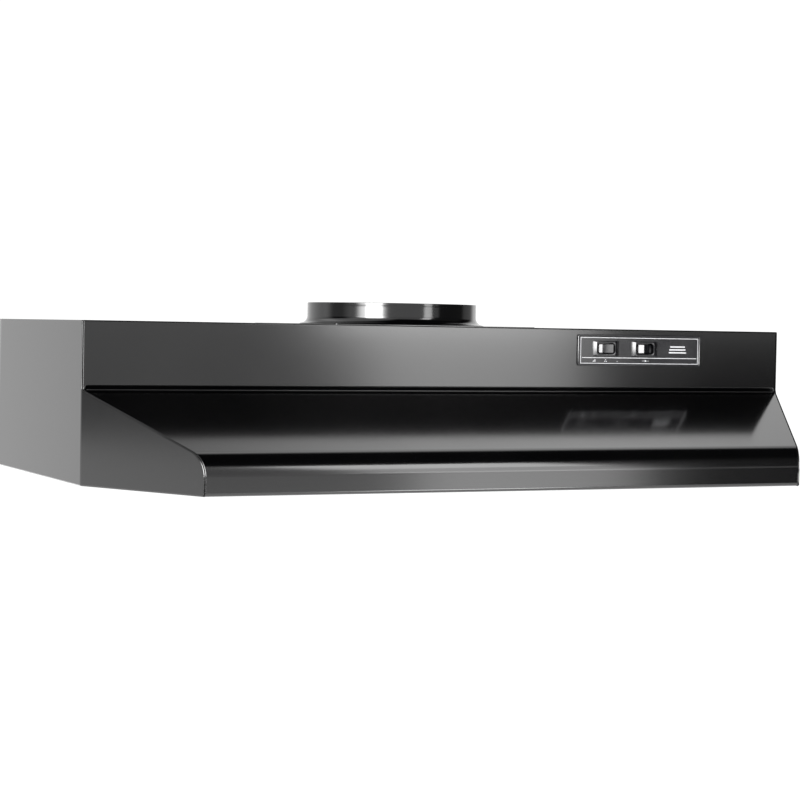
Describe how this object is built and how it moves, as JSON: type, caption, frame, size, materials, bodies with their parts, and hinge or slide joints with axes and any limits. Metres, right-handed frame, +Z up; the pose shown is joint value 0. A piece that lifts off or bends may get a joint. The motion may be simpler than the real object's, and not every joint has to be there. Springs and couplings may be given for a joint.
{
  "type": "under cabinet range hood",
  "caption": "Ducted under cabinet range hood with mitred ends, sloping visor, round duct collar, rocker controls, fan, hinged filter and light.",
  "frame": {"origin": "middle of the top face's rear edge, where the cabinet's underside meets the wall", "axes": "+X to the right as seen from the front, -Y out of the wall towards the cook, +Z up out of the top face"},
  "size_m": [0.762, 0.4445, 0.1753],
  "materials": {
    "black_enamel": "glossy black baked enamel",
    "galvanized": "satin galvanized sheet",
    "aluminium": "satin",
    "steel": "bright zinc plated",
    "copper": "enamelled copper winding",
    "black_plastic": "semi-gloss moulded",
    "lens": "translucent, ribbed",
    "bulb": "frosted",
    "ceramic": "unglazed",
    "black_wire": "matte insulation",
    "brass": "bright",
    "yellow_plastic": "matte moulded"
  },
  "bodies": {
    "hood": {"hood_wrap": "black_enamel", "left_end_panel": "black_enamel", "right_end_panel": "black_enamel", "back_panel": "black_enamel", "rear_outlet_cover": "galvanized", "duct_plate": "black_enamel", "duct_collar": "black_enamel", "damper_rod": "steel", "damper_stop_front": "galvanized", "damper_stop_rear": "galvanized", "switch_plate": "black_plastic", "fan_switch_frame": "black_plastic", "fan_switch_body": "black_plastic", "light_switch_frame": "black_plastic", "light_switch_body": "black_plastic", "plenum_box": "galvanized", "venturi_ring": "galvanized", "motor_bracket": "galvanized", "bracket_screw_left": "steel", "bracket_screw_right": "steel", "motor_end_cap_lower": "aluminium", "motor_end_cap_upper": "aluminium", "motor_stator": "steel", "motor_coil": "copper", "filter_clip": "steel", "filter_rail": "galvanized", "lamp_housing": "galvanized", "lamp_socket": "ceramic", "lamp_bulb": "bulb", "wiring_box": "galvanized", "wiring_cover": "galvanized", "wiring_cover_screw": "steel", "ground_screw": "brass", "cable_clamp": "steel", "wire_nut_motor": "yellow_plastic", "wire_nut_switch": "yellow_plastic", "motor_lead": "black_wire", "switch_lead": "black_wire", "lamp_lead": "black_wire"},
    "fan_wheel": {"fan_blade": "aluminium", "blade_nut": "steel", "motor_shaft": "steel", "motor_rotor": "aluminium"},
    "damper_front": {"damper_flap_front": "galvanized"},
    "damper_rear": {"damper_flap_rear": "galvanized"},
    "fan_switch_rocker": {"fan_rocker": "black_plastic"},
    "light_switch_rocker": {"light_rocker": "black_plastic"},
    "filter": {"filter_frame": "aluminium", "filter_mesh": "aluminium"},
    "pull_ring": {"filter_pull_ring": "steel"},
    "lens": {"lamp_lens": "lens"}
  },
  "joints": [
    {"name": "fan_spin", "type": "hinge", "parent": "hood", "child": "fan_wheel", "pos_m": [0, -0.148, -0.03], "axis": [0, 0, 1], "continuous": true},
    {"name": "damper_front_swing", "type": "hinge", "parent": "hood", "child": "damper_front", "pos_m": [0, -0.148, 0.011], "axis": [-1, 0, 0], "range_deg": [0, 78]},
    {"name": "damper_rear_swing", "type": "hinge", "parent": "hood", "child": "damper_rear", "pos_m": [0, -0.148, 0.011], "axis": [1, 0, 0], "range_deg": [0, 78]},
    {"name": "fan_rocker_tilt", "type": "hinge", "parent": "hood", "child": "fan_switch_rocker", "pos_m": [0.17195, -0.3006, -0.0207], "axis": [0, 0, 1], "range_deg": [-9, 9]},
    {"name": "light_rocker_tilt", "type": "hinge", "parent": "hood", "child": "light_switch_rocker", "pos_m": [0.2185, -0.3006, -0.0207], "axis": [0, 0, 1], "range_deg": [-18, 0]},
    {"name": "filter_swing", "type": "hinge", "parent": "hood", "child": "filter", "pos_m": [0, -0.036, -0.104], "axis": [1, 0, 0], "range_deg": [0, 80], "deforming": ["filter_clip"]},
    {"name": "pull_ring_swing", "type": "hinge", "parent": "filter", "child": "pull_ring", "pos_m": [0, -0.25, -0.1091], "axis": [1, 0, 0], "range_deg": [-80, 80]},
    {"name": "lens_swing", "type": "hinge", "parent": "hood", "child": "lens", "pos_m": [0.25, -0.1675, -0.099], "axis": [1, 0, 0], "range_deg": [0, 85]}
  ]
}
